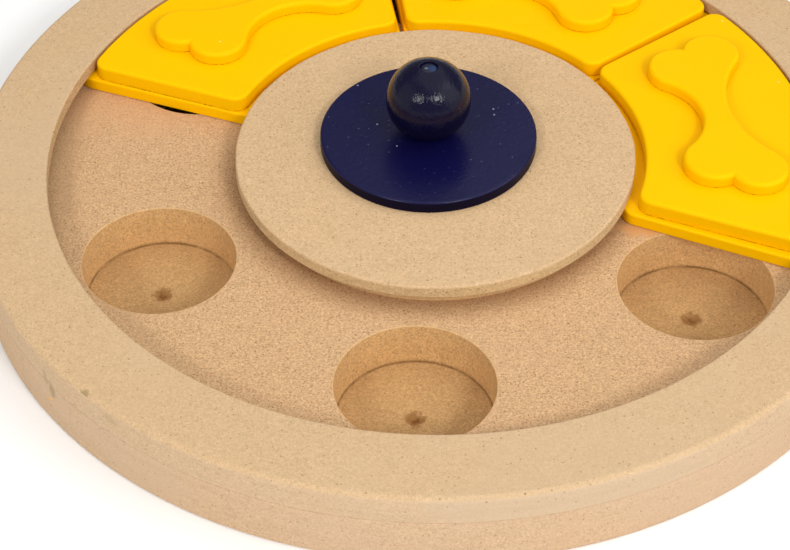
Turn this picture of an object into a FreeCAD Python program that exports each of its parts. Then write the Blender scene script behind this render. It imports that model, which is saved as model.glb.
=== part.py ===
import FreeCAD
import Part

import math
import os

from FreeCAD import Placement, Rotation, Vector

# Round wooden treat puzzle for a dog.
# Frame: millimetres, +Z up, origin at the centre of the board's underside.
# The board's base, its raised rim, the hub and the centre disc are glued and
# screwed together. Three painted sliders run in the annular track between rim
# and centre disc. A loose lid with a ball knob covers the centre well.

doc = FreeCAD.newDocument("treat_puzzle")

# ---------------------------------------------------------------- dimensions
sheet = doc.addObject("Spreadsheet::Sheet", "params")

SIZES = [
    # board
    ("board_radius", 138.0),
    ("base_thick", 16.0),
    ("rim_thick", 9.2),
    ("rim_inner_radius", 115.5),
    ("rabbet_radius", 122.5),
    ("rabbet_depth", 5.0),
    ("rim_outer_round", 1.8),
    ("rim_inner_round", 0.6),
    ("base_round", 1.0),
    # treat pockets
    ("pocket_radius", 22.3),
    ("pocket_pitch_radius", 89.1),
    ("pocket_depth", 14.2),
    ("pocket_first_angle", 25.5),
    ("pocket_count", 6.0),
    ("spur_radius", 2.4),
    ("spur_depth", 1.0),
    # hub and centre disc
    ("hub_radius", 56.3),
    ("hub_thick", 4.4),
    ("disc_radius", 60.0),
    ("disc_thick", 4.1),
    ("disc_round", 0.7),
    # fixing screws
    ("screw_pitch_radius", 35.0),
    ("screw_shank_radius", 1.75),
    ("screw_head_radius", 3.8),
    ("screw_head_height", 2.4),
    ("screw_length", 19.5),
    ("screw_slot_width", 1.1),
    ("screw_slot_depth", 1.0),
    # sliders
    ("slider_float", 0.15),
    ("plate_thick", 4.0),
    ("plate_inner_radius", 57.5),
    ("plate_outer_radius", 121.5),
    ("plate_angle", 60.5),
    ("block_top_height", 25.2),
    ("block_inner_radius", 63.0),
    ("block_outer_radius", 114.7),
    ("block_angle", 59.1),
    ("plate_corner", 6.5),
    ("block_corner", 4.5),
    ("plate_edge_round", 0.6),
    ("block_edge_round", 1.0),
    ("right_angle", 6.4),
    ("right_block_place", 7.0),
    ("middle_angle", 67.3),
    ("middle_block_place", 67.4),
    ("left_angle", 128.95),
    ("left_block_place", 129.25),
    # raised bone figure
    ("bone_thick", 4.0),
    ("bone_edge_round", 1.2),
    ("outer_lobe_x", 27.8),
    ("outer_lobe_y", 8.3),
    ("outer_lobe_radius", 8.9),
    ("inner_lobe_x", 22.2),
    ("inner_lobe_y", 3.6),
    ("inner_lobe_radius", 9.2),
    ("shank_top", 7.2),
    ("shank_bottom", 1.9),
    ("right_bone_place_radius", 83.6),
    ("right_bone_place_angle", 8.45),
    ("right_bone_turn", 8.2),
    ("middle_bone_place_radius", 83.5),
    ("middle_bone_place_angle", 68.65),
    ("middle_bone_turn", 66.5),
    ("left_bone_place_radius", 83.9),
    ("left_bone_place_angle", 128.0),
    ("left_bone_turn", 125.7),
    # lid and knob
    ("lid_radius", 32.45),
    ("lid_thick", 3.9),
    ("lid_round", 0.8),
    ("lid_offset_x", -1.9),
    ("lid_offset_y", 3.64),
    ("ball_radius", 12.6),
    ("ball_flat", 0.3),
    ("dowel_radius", 2.5),
    ("dowel_recess", 0.8),
    ("dowel_lift", 0.3),
]
S = {}
for row, (alias, value) in enumerate(SIZES, start=1):
    sheet.set("A%d" % row, alias)
    sheet.set("B%d" % row, repr(value))
    sheet.setAlias("B%d" % row, alias)
    S[alias] = value
doc.recompute()

PARTS = []


def size(expression):
    """Value of an expression over the sheet's aliases, for first geometry."""
    names = dict(S)
    total = expression
    for key in sorted(names, key=len, reverse=True):
        total = total.replace("params." + key, repr(names[key]))
    return arithmetic(total)


def arithmetic(text):
    """Small evaluator for sums and products of numbers, left to right."""
    tokens = []
    number = ""
    for ch in text.replace(" ", ""):
        if ch in "+-*/" and number:
            tokens.append(float(number))
            tokens.append(ch)
            number = ""
        else:
            number += ch
    tokens.append(float(number))
    i = 1
    while i < len(tokens):
        if tokens[i] in ("*", "/"):
            a, op, b = tokens[i - 1:i + 2]
            tokens[i - 1:i + 2] = [a * b if op == "*" else a / b]
        else:
            i += 2
    value = tokens[0]
    for op, b in zip(tokens[1::2], tokens[2::2]):
        value = value + b if op == "+" else value - b
    return value


def new_body(label):
    body = doc.addObject("PartDesign::Body", label)
    body.Label = label
    PARTS.append(body)
    return body


def origin_plane(body, role):
    for feature in body.Origin.OriginFeatures:
        if feature.Role == role:
            return feature
    raise RuntimeError("no plane " + role)


def new_sketch(body, name, role, offset=None):
    sketch = body.newObject("Sketcher::SketchObject", name)
    sketch.AttachmentSupport = [(origin_plane(body, role), "")]
    sketch.MapMode = "FlatFace"
    if offset is not None:
        sketch.AttachmentOffset = offset
    return sketch


def polygon(sketch, corners):
    """Closed polygon; each corner is a pair of expressions over the sheet."""
    import Sketcher
    points = [Vector(size(cx), size(cy), 0) for cx, cy in corners]
    count = len(points)
    first = sketch.GeometryCount
    for i in range(count):
        sketch.addGeometry(Part.LineSegment(points[i], points[(i + 1) % count]), False)
    for i in range(count):
        sketch.addConstraint(Sketcher.Constraint(
            "Coincident", first + i, 2, first + (i + 1) % count, 1))
    for i, (cx, cy) in enumerate(corners):
        p = points[i]
        if abs(p.x) < 1e-9:
            sketch.addConstraint(Sketcher.Constraint("PointOnObject", first + i, 1, -2))
        else:
            at = sketch.addConstraint(Sketcher.Constraint("DistanceX", -1, 1, first + i, 1, p.x))
            sketch.setExpression("Constraints[%d]" % at, cx)
        if abs(p.y) < 1e-9:
            sketch.addConstraint(Sketcher.Constraint("PointOnObject", first + i, 1, -1))
        else:
            at = sketch.addConstraint(Sketcher.Constraint("DistanceY", -1, 1, first + i, 1, p.y))
            sketch.setExpression("Constraints[%d]" % at, cy)
    doc.recompute()


def revolve(body, name, corners, angle=None):
    """Solid of revolution about +Z; with an angle it is a sector about +X."""
    sketch = new_sketch(body, name + "_profile", "XZ_Plane")
    polygon(sketch, corners)
    feature = body.newObject("PartDesign::Revolution", name)
    feature.Profile = sketch
    feature.ReferenceAxis = (sketch, ["V_Axis"])
    if angle is None:
        feature.Angle = 360.0
    else:
        feature.Midplane = True
        feature.Angle = size(angle)
        feature.setExpression("Angle", angle)
    doc.recompute()
    return feature


def groove(body, name, corners, axis_index=None, turn=None):
    """Ring-shaped cut; with axis_index the cut turns about that sketch line."""
    offset = None
    if turn is not None:
        offset = Placement(Vector(0, 0, 0), Rotation(Vector(0, 1, 0), turn))
    before = body.Shape.Volume
    sketch = new_sketch(body, name + "_profile", "XZ_Plane", offset)
    polygon(sketch, corners)
    if axis_index is not None:
        import Sketcher
        x = size(corners[0][0])
        line = sketch.addGeometry(Part.LineSegment(Vector(x, 0, 0), Vector(x, 5, 0)), True)
        sketch.addConstraint(Sketcher.Constraint("PointOnObject", line, 1, -1))
        sketch.addConstraint(Sketcher.Constraint("Vertical", line))
        at = sketch.addConstraint(Sketcher.Constraint("DistanceX", -1, 1, line, 1, x))
        sketch.setExpression("Constraints[%d]" % at, corners[0][0])
        sketch.addConstraint(Sketcher.Constraint("DistanceY", line, 1, line, 2, 5.0))
        doc.recompute()
    feature = body.newObject("PartDesign::Groove", name)
    feature.Profile = sketch
    feature.ReferenceAxis = (sketch, ["V_Axis" if axis_index is None else "Axis0"])
    feature.Angle = 360.0
    doc.recompute()
    removed = before - feature.Shape.Volume
    if removed < 0.5:
        raise RuntimeError(name + " cuts nothing")
    return feature


def polar(body, name, feature, count_alias, angle=360.0):
    pattern = body.newObject("PartDesign::PolarPattern", name)
    pattern.Originals = [feature]
    first_sketch = feature.Profile[0] if isinstance(feature.Profile, tuple) else feature.Profile
    pattern.Axis = (first_sketch, ["V_Axis"])
    pattern.Angle = angle
    pattern.Occurrences = int(S[count_alias]) if isinstance(count_alias, str) else count_alias
    if isinstance(count_alias, str):
        pattern.setExpression("Occurrences", "params." + count_alias)
    body.Tip = pattern
    doc.recompute()
    return pattern


def round_edges(body, name, base, chosen, radius_alias):
    edges = ["Edge%d" % (i + 1) for i, e in enumerate(base.Shape.Edges) if chosen(e)]
    if not edges:
        raise RuntimeError("no edges for " + name)
    fillet = body.newObject("PartDesign::Fillet", name)
    fillet.Base = (base, edges)
    fillet.Radius = S[radius_alias]
    fillet.setExpression("Radius", "params." + radius_alias)
    doc.recompute()
    return fillet


def edge_at(z, radius=None, tol=0.02):
    """Test for edges that lie at height z, and on a circle of that radius."""
    def test(edge):
        box = edge.BoundBox
        if abs(box.ZMin - z) > tol or abs(box.ZMax - z) > tol:
            return False
        if radius is None:
            return True
        p = edge.valueAt((edge.FirstParameter + edge.LastParameter) / 2)
        return abs(math.hypot(p.x, p.y) - radius) < tol
    return test


def upright(edge):
    box = edge.BoundBox
    return box.ZLength > 1.0 and box.XLength < 0.01 and box.YLength < 0.01


P = "params."
BASE_TOP = P + "base_thick"
POCKET_FLOOR = P + "base_thick - " + P + "pocket_depth"
SPUR_TIP = POCKET_FLOOR + " - " + P + "spur_depth"
OVER = P + "base_thick + 2"

# ------------------------------------------------------------- base_board
# 16 mm board. Six drilled pockets on one pitch circle and a centre well of
# the same drill; each floor keeps the small cone of the drill's centre spur.
base = new_body("base_board")
blank = revolve(base, "base_blank", [
    ("0", "0"), (P + "board_radius", "0"),
    (P + "board_radius", BASE_TOP), ("0", BASE_TOP)])
softened = round_edges(base, "base_softened", blank,
                       edge_at(0.0, S["board_radius"]), "base_round")
well = groove(base, "centre_well", [
    ("0", OVER), (P + "pocket_radius", OVER), (P + "pocket_radius", POCKET_FLOOR),
    (P + "spur_radius", POCKET_FLOOR), ("0", SPUR_TIP)])
PX = P + "pocket_pitch_radius"
POCKET_SECTION = [
    (PX, OVER), (PX + " + " + P + "pocket_radius", OVER),
    (PX + " + " + P + "pocket_radius", POCKET_FLOOR),
    (PX + " + " + P + "spur_radius", POCKET_FLOOR), (PX, SPUR_TIP)]
pocket = groove(base, "treat_pocket", POCKET_SECTION, axis_index=0,
                turn=S["pocket_first_angle"])
one = pocket.Shape.Volume
pockets = polar(base, "treat_pockets", pocket, "pocket_count")
if well.Shape.Volume - pockets.Shape.Volume < 5.9 * (well.Shape.Volume - one):
    raise RuntimeError("pockets missing")
# clearance holes and countersinks for the three fixing screws, underside
SX = P + "screw_pitch_radius"
hole = groove(base, "screw_hole", [
    (SX, OVER), (SX + " + " + P + "screw_shank_radius", OVER),
    (SX + " + " + P + "screw_shank_radius", P + "screw_head_height + 0.4"),
    (SX + " + " + P + "screw_head_radius", "0.4"),
    (SX + " + " + P + "screw_head_radius", "0 - 1"), (SX, "0 - 1")],
    axis_index=0, turn=55.5)
holes = polar(base, "screw_holes", hole, 3)

# --------------------------------------------------------------- rim_ring
# 9 mm ring glued on the base. The rabbet routed under its inner edge leaves a
# lip that holds the sliders' plates down.
rim = new_body("rim_ring")
RIM_TOP = P + "base_thick + " + P + "rim_thick"
LIP_UNDER = P + "base_thick + " + P + "rabbet_depth"
rim_blank = revolve(rim, "rim_blank", [
    (P + "rim_inner_radius", RIM_TOP), (P + "board_radius", RIM_TOP),
    (P + "board_radius", BASE_TOP), (P + "rabbet_radius", BASE_TOP),
    (P + "rabbet_radius", LIP_UNDER), (P + "rim_inner_radius", LIP_UNDER)])
rim_outer = round_edges(rim, "rim_outer_softened", rim_blank,
                        edge_at(25.2, S["board_radius"]), "rim_outer_round")
rim_inner = round_edges(rim, "rim_inner_softened", rim_outer,
                        edge_at(25.2, S["rim_inner_radius"]), "rim_inner_round")

# ------------------------------------------------------------- hub_spacer
# Lifts the centre disc so that the sliders' inner edge runs under it.
hub = new_body("hub_spacer")
HUB_TOP = P + "base_thick + " + P + "hub_thick"
hub_blank = revolve(hub, "hub_blank", [
    (P + "pocket_radius", BASE_TOP), (P + "hub_radius", BASE_TOP),
    (P + "hub_radius", HUB_TOP), (P + "pocket_radius", HUB_TOP)])
pilot = groove(hub, "hub_pilot", [
    (SX, HUB_TOP + " - 0.5"), (SX + " + " + P + "screw_shank_radius", HUB_TOP + " - 0.5"),
    (SX + " + " + P + "screw_shank_radius", "15"), (SX, "15")],
    axis_index=0, turn=55.5)
pilots = polar(hub, "hub_pilots", pilot, 3)

# ------------------------------------------------------------ centre_disc
disc = new_body("centre_disc")
DISC_TOP = HUB_TOP + " + " + P + "disc_thick"
disc_blank = revolve(disc, "disc_blank", [
    (P + "pocket_radius", HUB_TOP), (P + "disc_radius", HUB_TOP),
    (P + "disc_radius", DISC_TOP), (P + "pocket_radius", DISC_TOP)])
disc_soft = round_edges(disc, "disc_softened", disc_blank,
                        lambda e: edge_at(24.5, 60.0)(e) or edge_at(20.4, 60.0)(e),
                        "disc_round")

# ---------------------------------------------------------- centre_screws
# Three slotted countersunk wood screws, driven from the underside.
screws = doc.addObject("Part::Compound", "centre_screws")
screws.Label = "centre_screws"
made = []
for number in range(3):
    turn = 55.5 + 120.0 * number
    shank = doc.addObject("Part::Cylinder", "shank_%d" % number)
    head = doc.addObject("Part::Cone", "head_%d" % number)
    slot = doc.addObject("Part::Box", "slot_%d" % number)
    shank.setExpression("Radius", "params.screw_shank_radius")
    shank.setExpression("Height", "params.screw_length - params.screw_head_height")
    shank.setExpression("Placement.Base.z", "(params.screw_head_height + 0.4) * 1 mm")
    head.setExpression("Radius1", "params.screw_head_radius")
    head.setExpression("Radius2", "params.screw_shank_radius")
    head.setExpression("Height", "params.screw_head_height")
    head.Placement = Placement(Vector(0, 0, 0.4), Rotation())
    slot.setExpression("Length", "params.screw_head_radius * 2 + 1")
    slot.setExpression("Width", "params.screw_slot_width")
    slot.setExpression("Height", "params.screw_slot_depth + 1")
    slot.setExpression("Placement.Base.x", "-(params.screw_head_radius + 0.5) * 1 mm")
    slot.setExpression("Placement.Base.y", "-params.screw_slot_width / 2 * 1 mm")
    slot.setExpression("Placement.Base.z", "-0.6 mm")
    whole = doc.addObject("Part::Fuse", "whole_%d" % number)
    whole.Base, whole.Tool = shank, head
    cut = doc.addObject("Part::Cut", "screw_%d" % number)
    cut.Base, cut.Tool = whole, slot
    reach = S["screw_pitch_radius"]
    cut.Placement = Placement(
        Vector(reach * math.cos(math.radians(turn)), reach * math.sin(math.radians(turn)), 0),
        Rotation(Vector(0, 0, 1), turn + 35.0 * number))
    cut.setExpression("Placement.Base.x", "params.screw_pitch_radius * cos(%r deg) * 1 mm" % turn)
    cut.setExpression("Placement.Base.y", "params.screw_pitch_radius * sin(%r deg) * 1 mm" % turn)
    made.append(cut)
screws.Links = made
PARTS.append(screws)
doc.recompute()

# ---------------------------------------------------------------- sliders
# Each slider is three glued layers: a wide plate that runs under the rim's
# lip and under the centre disc, a block that fills the track above it, and a
# bone figure on top that is the grip.
PLATE_Z = P + "base_thick + " + P + "slider_float"
PLATE_TOP = PLATE_Z + " + " + P + "plate_thick"
BLOCK_TOP = P + "block_top_height"


def place_turned(body, angle_alias):
    body.Placement = Placement(Vector(0, 0, 0), Rotation(Vector(0, 0, 1), S[angle_alias]))
    body.setExpression("Placement.Rotation.Angle", "params.%s * 1 deg" % angle_alias)


def bone_outline(sketch):
    """Bone of six tangent arcs. Sketch x runs along the track and y runs
    outward. The two outer lobes are further apart than the inner lobes."""
    import Sketcher
    lx, ly, lr = S["outer_lobe_x"], S["outer_lobe_y"], S["outer_lobe_radius"]
    ix, iy, ir = S["inner_lobe_x"], -S["inner_lobe_y"], S["inner_lobe_radius"]
    top, low = S["shank_top"], -S["shank_bottom"]
    # upper hollow: centre (0, uy), passes (0, top), touches the outer lobes
    k = lr - top
    uy = (lx * lx + ly * ly - k * k) / (2.0 * (ly + k))
    ur = uy - top
    # lower hollow: centre (0, -dy), passes (0, low), touches the inner lobes
    jy = -iy
    k2 = ir + low
    dy = (ix * ix + jy * jy - k2 * k2) / (2.0 * (jy + k2))
    dr = dy + low
    # notch between the two lobes at each end
    ex, ey = ix - lx, iy - ly
    d = math.hypot(ex, ey)
    a = (lr * lr - ir * ir + d * d) / (2 * d)
    w = math.sqrt(lr * lr - a * a)
    nx = lx + a * ex / d - w * ey / d
    ny = ly + a * ey / d + w * ex / d

    def angle(cx, cy, x, y):
        return math.atan2(y - cy, x - cx)

    def arc(cx, cy, r, a0, a1):
        while a1 < a0:
            a1 += 2 * math.pi
        return Part.ArcOfCircle(Part.Circle(Vector(cx, cy, 0), Vector(0, 0, 1), r), a0, a1)

    ux, uyy = lx * ur / (ur + lr), uy + (ly - uy) * ur / (ur + lr)
    dx, dyy = ix * dr / (dr + ir), -dy + (iy + dy) * dr / (dr + ir)
    geo = [
        arc(lx, ly, lr, angle(lx, ly, nx, ny), angle(lx, ly, ux, uyy)),
        arc(0, uy, ur, angle(0, uy, -ux, uyy), angle(0, uy, ux, uyy)),
        arc(-lx, ly, lr, angle(-lx, ly, -ux, uyy), angle(-lx, ly, -nx, ny)),
        arc(-ix, iy, ir, angle(-ix, iy, -nx, ny), angle(-ix, iy, -dx, dyy)),
        arc(0, -dy, dr, angle(0, -dy, dx, dyy), angle(0, -dy, -dx, dyy)),
        arc(ix, iy, ir, angle(ix, iy, dx, dyy), angle(ix, iy, nx, ny)),
    ]
    for g in geo:
        sketch.addGeometry(g, False)
    C = Sketcher.Constraint
    # where arcs meet, smoothly at the hollows and sharply at the notches
    sketch.addConstraint(C("Tangent", 0, 2, 1, 2))
    sketch.addConstraint(C("Tangent", 1, 1, 2, 1))
    sketch.addConstraint(C("Coincident", 2, 2, 3, 1))
    sketch.addConstraint(C("Tangent", 3, 2, 4, 2))
    sketch.addConstraint(C("Tangent", 4, 1, 5, 1))
    sketch.addConstraint(C("Coincident", 5, 2, 0, 1))
    for index, sx, sy, sr in (
            (0, "params.outer_lobe_x", "params.outer_lobe_y", "params.outer_lobe_radius"),
            (2, "-params.outer_lobe_x", "params.outer_lobe_y", "params.outer_lobe_radius"),
            (3, "-params.inner_lobe_x", "-params.inner_lobe_y", "params.inner_lobe_radius"),
            (5, "params.inner_lobe_x", "-params.inner_lobe_y", "params.inner_lobe_radius")):
        centre = geo[index].Center
        at = sketch.addConstraint(C("DistanceX", -1, 1, index, 3, centre.x))
        sketch.setExpression("Constraints[%d]" % at, sx)
        at = sketch.addConstraint(C("DistanceY", -1, 1, index, 3, centre.y))
        sketch.setExpression("Constraints[%d]" % at, sy)
        at = sketch.addConstraint(C("Radius", index, geo[index].Radius))
        sketch.setExpression("Constraints[%d]" % at, sr)
    hollow = ("((params.outer_lobe_x * params.outer_lobe_x + params.outer_lobe_y * params.outer_lobe_y"
              " - (params.outer_lobe_radius - params.shank_top) * (params.outer_lobe_radius - params.shank_top))"
              " / (2 * (params.outer_lobe_y + params.outer_lobe_radius - params.shank_top)) - params.shank_top)")
    at = sketch.addConstraint(C("Radius", 1, ur))
    sketch.setExpression("Constraints[%d]" % at, hollow)
    hollow = ("((params.inner_lobe_x * params.inner_lobe_x + params.inner_lobe_y * params.inner_lobe_y"
              " - (params.inner_lobe_radius - params.shank_bottom) * (params.inner_lobe_radius - params.shank_bottom))"
              " / (2 * (params.inner_lobe_y + params.inner_lobe_radius - params.shank_bottom)) - params.shank_bottom)")
    at = sketch.addConstraint(C("Radius", 4, dr))
    sketch.setExpression("Constraints[%d]" % at, hollow)
    doc.recompute()


for side in ("right", "middle", "left"):
    plate = new_body("slider_%s_plate" % side)
    sector = revolve(plate, side + "_plate_sector", [
        (P + "plate_inner_radius", PLATE_Z), (P + "plate_outer_radius", PLATE_Z),
        (P + "plate_outer_radius", PLATE_TOP), (P + "plate_inner_radius", PLATE_TOP)],
        angle=P + "plate_angle")
    corners = round_edges(plate, side + "_plate_corners", sector, upright, "plate_corner")
    round_edges(plate, side + "_plate_edge", corners,
                edge_at(20.15), "plate_edge_round")
    place_turned(plate, side + "_angle")

    block = new_body("slider_%s_block" % side)
    sector = revolve(block, side + "_block_sector", [
        (P + "block_inner_radius", PLATE_TOP), (P + "block_outer_radius", PLATE_TOP),
        (P + "block_outer_radius", BLOCK_TOP), (P + "block_inner_radius", BLOCK_TOP)],
        angle=P + "block_angle")
    corners = round_edges(block, side + "_block_corners", sector, upright, "block_corner")
    round_edges(block, side + "_block_edge", corners,
                edge_at(25.2), "block_edge_round")
    place_turned(block, side + "_block_place")

    bone = new_body("slider_%s_bone" % side)
    sketch = new_sketch(bone, side + "_bone_outline", "XY_Plane",
                        Placement(Vector(0, 0, S["block_top_height"]), Rotation()))
    sketch.setExpression("AttachmentOffset.Base.z", "params.block_top_height * 1 mm")
    bone_outline(sketch)
    pad = bone.newObject("PartDesign::Pad", side + "_bone_pad")
    pad.Profile = sketch
    pad.Length = S["bone_thick"]
    pad.setExpression("Length", "params.bone_thick")
    doc.recompute()
    round_edges(bone, side + "_bone_edge", pad,
                edge_at(29.2), "bone_edge_round")
    reach = side + "_bone_place_radius"
    toward = side + "_bone_place_angle"
    bone.Placement = Placement(
        Vector(S[reach] * math.cos(math.radians(S[toward])),
               S[reach] * math.sin(math.radians(S[toward])), 0),
        Rotation(Vector(0, 0, 1), S[side + "_bone_turn"] - 90.0))
    bone.setExpression("Placement.Base.x", "params.%s * cos(params.%s * 1 deg) * 1 mm" % (reach, toward))
    bone.setExpression("Placement.Base.y", "params.%s * sin(params.%s * 1 deg) * 1 mm" % (reach, toward))
    doc.recompute()

# --------------------------------------------------------------- lid, knob
# The lid lies loose on the centre disc, a little off its centre, and its
# knob is a ball with a pin through it. All three are made about +Z and moved.
LID_Z = DISC_TOP
LID_TOP = DISC_TOP + " + " + P + "lid_thick"


def place_lid(body):
    body.Placement = Placement(Vector(S["lid_offset_x"], S["lid_offset_y"], 0), Rotation())
    body.setExpression("Placement.Base.x", "params.lid_offset_x * 1 mm")
    body.setExpression("Placement.Base.y", "params.lid_offset_y * 1 mm")


lid = new_body("lid_disc")
lid_blank = revolve(lid, "lid_blank", [
    (P + "dowel_radius", LID_Z), (P + "lid_radius", LID_Z),
    (P + "lid_radius", LID_TOP), (P + "dowel_radius", LID_TOP)])
round_edges(lid, "lid_softened", lid_blank,
            lambda e: edge_at(28.4, S["lid_radius"])(e) or edge_at(24.5, S["lid_radius"])(e),
            "lid_round")
place_lid(lid)

ball = new_body("knob_ball")
ball_sketch = new_sketch(ball, "ball_profile", "XZ_Plane")
import Sketcher
r, flat, hole_r = S["ball_radius"], S["ball_flat"], S["dowel_radius"]
foot = size(LID_TOP)
cz = foot + r - flat
low_a = -math.asin((r - flat) / r)
high_a = math.acos(hole_r / r)
foot_x = r * math.cos(low_a)
high_z = cz + r * math.sin(high_a)
ball_sketch.addGeometry(Part.ArcOfCircle(
    Part.Circle(Vector(0, cz, 0), Vector(0, 0, 1), r), low_a, high_a), False)
ball_sketch.addGeometry(Part.LineSegment(Vector(hole_r, high_z, 0), Vector(hole_r, foot, 0)), False)
ball_sketch.addGeometry(Part.LineSegment(Vector(hole_r, foot, 0), Vector(foot_x, foot, 0)), False)
CC = Sketcher.Constraint
ball_sketch.addConstraint(CC("Coincident", 0, 2, 1, 1))
ball_sketch.addConstraint(CC("Coincident", 1, 2, 2, 1))
ball_sketch.addConstraint(CC("Coincident", 2, 2, 0, 1))
ball_sketch.addConstraint(CC("PointOnObject", 0, 3, -2))
ball_sketch.addConstraint(CC("Vertical", 1))
ball_sketch.addConstraint(CC("Horizontal", 2))
at = ball_sketch.addConstraint(CC("DistanceY", -1, 1, 0, 3, cz))
ball_sketch.setExpression("Constraints[%d]" % at, LID_TOP + " + params.ball_radius - params.ball_flat")
at = ball_sketch.addConstraint(CC("Radius", 0, r))
ball_sketch.setExpression("Constraints[%d]" % at, "params.ball_radius")
at = ball_sketch.addConstraint(CC("DistanceX", -1, 1, 1, 2, hole_r))
ball_sketch.setExpression("Constraints[%d]" % at, "params.dowel_radius")
at = ball_sketch.addConstraint(CC("DistanceY", -1, 1, 1, 2, foot))
ball_sketch.setExpression("Constraints[%d]" % at, LID_TOP)
doc.recompute()
turned = ball.newObject("PartDesign::Revolution", "ball_turned")
turned.Profile = ball_sketch
turned.ReferenceAxis = (ball_sketch, ["V_Axis"])
turned.Angle = 360.0
doc.recompute()
place_lid(ball)

dowel = new_body("knob_dowel")
DOWEL_TOP = LID_TOP + " + 2 * " + P + "ball_radius - " + P + "ball_flat - " + P + "dowel_recess"
revolve(dowel, "dowel_turned", [
    ("0", LID_Z + " + " + P + "dowel_lift"), (P + "dowel_radius", LID_Z + " + " + P + "dowel_lift"),
    (P + "dowel_radius", DOWEL_TOP), ("0", DOWEL_TOP)])
place_lid(dowel)

# ------------------------------------------------------------ check, write
doc.recompute()
bad = [o.Name for o in doc.Objects if "Invalid" in o.State or "Error" in o.State]
if bad:
    raise RuntimeError("failed objects: %s" % bad)
for part in PARTS:
    shape = part.Shape
    if shape.isNull() or not shape.isValid() or not shape.Solids:
        raise RuntimeError("bad shape: " + part.Label)

os.makedirs("parts", exist_ok=True)
for part in PARTS:
    part.Shape.exportStep("parts/%s.step" % part.Label)
    box = part.Shape.BoundBox
    print("%-22s solids %d volume %10.1f  z %.2f..%.2f  x %.1f..%.1f  y %.1f..%.1f" % (
        part.Label, len(part.Shape.Solids), part.Shape.Volume, box.ZMin, box.ZMax,
        box.XMin, box.XMax, box.YMin, box.YMax))
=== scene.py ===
import math
import random

import bpy
from mathutils import Matrix, Vector
from mathutils.geometry import delaunay_2d_cdt


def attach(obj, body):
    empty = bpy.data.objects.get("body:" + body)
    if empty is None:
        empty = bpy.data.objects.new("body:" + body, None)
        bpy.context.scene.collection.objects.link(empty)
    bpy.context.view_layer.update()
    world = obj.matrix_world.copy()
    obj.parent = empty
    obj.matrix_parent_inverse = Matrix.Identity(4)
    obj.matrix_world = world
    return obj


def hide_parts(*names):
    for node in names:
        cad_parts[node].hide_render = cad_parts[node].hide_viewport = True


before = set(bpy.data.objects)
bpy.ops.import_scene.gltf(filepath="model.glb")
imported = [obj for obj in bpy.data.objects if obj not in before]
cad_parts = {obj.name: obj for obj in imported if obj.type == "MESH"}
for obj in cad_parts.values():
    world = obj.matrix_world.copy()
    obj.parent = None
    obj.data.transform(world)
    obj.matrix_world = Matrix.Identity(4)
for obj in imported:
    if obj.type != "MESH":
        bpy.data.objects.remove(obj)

MM = 0.001
TAU = 2.0 * math.pi
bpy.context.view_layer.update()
scene = bpy.context.scene

# ------------------------------------------------------------------ sizes, mm
BOARD_R, BASE_T = 138.0, 16.0
RIM_TOP, RIM_IN, RABBET_R, LIP_Z = 25.2, 115.5, 122.5, 21.0
HUB_R, HUB_TOP = 56.3, 20.4
DISC_R, DISC_TOP = 60.0, 24.5
POCKET_R, POCKET_PITCH, POCKET_FLOOR = 22.3, 89.1, 1.8
POCKET_ANGLES = [25.5, 85.5, 145.5, 205.5, 265.5, 325.5]
SCREW_PITCH, SCREW_ANGLES = 35.0, [55.5, 175.5, 295.5]
PLATE = dict(ri=57.5, ro=121.5, width=60.5, corner=6.5, z0=16.15, z1=20.15)
BLOCK = dict(ri=63.0, ro=114.7, width=59.1, corner=4.5, z0=20.15, z1=25.2)
SLIDERS = {
    "right": dict(plate=6.4, block=7.0, bone_r=83.6, bone_a=8.45, bone_turn=8.2),
    "middle": dict(plate=67.3, block=67.4, bone_r=83.5, bone_a=68.65, bone_turn=66.5),
    "left": dict(plate=128.95, block=129.25, bone_r=83.9, bone_a=128.0, bone_turn=125.7),
}
BONE = dict(lx=27.8, ly=8.3, lr=8.9, ix=22.2, iy=-3.6, ir=9.2, top=7.2, low=-1.9, z0=25.2, z1=29.2)
LID_X, LID_Y, LID_R, LID_Z0, LID_Z1 = -1.9, 3.64, 32.45, 24.5, 28.4
BALL_R, BALL_FLAT, DOWEL_R = 12.6, 0.3, 2.5


# ------------------------------------------------------------- mesh helpers
def make_object(name, verts, faces, sharp_deg=32.0, mats=None, face_mats=None):
    mesh = bpy.data.meshes.new(name)
    mesh.from_pydata([tuple(c * MM for c in v) for v in verts], [], faces)
    mesh.validate()
    mesh.update()
    obj = bpy.data.objects.new(name, mesh)
    scene.collection.objects.link(obj)
    for m in mats or []:
        mesh.materials.append(m)
    if face_mats:
        mesh.polygons.foreach_set("material_index", face_mats)
    mesh.polygons.foreach_set("use_smooth", [True] * len(mesh.polygons))
    # edges sharper than the limit stay crisp
    normals = [p.normal.copy() for p in mesh.polygons]
    edge_faces = {}
    for p in mesh.polygons:
        for k in p.edge_keys:
            edge_faces.setdefault(k, []).append(p.index)
    limit = math.cos(math.radians(sharp_deg))
    for e in mesh.edges:
        fs = edge_faces.get(tuple(sorted(e.vertices)), [])
        if len(fs) == 2 and normals[fs[0]].dot(normals[fs[1]]) < limit:
            e.use_edge_sharp = True
    wn = obj.modifiers.new("weighted", "WEIGHTED_NORMAL")
    wn.keep_sharp = True
    wn.weight = 60
    return obj


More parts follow.
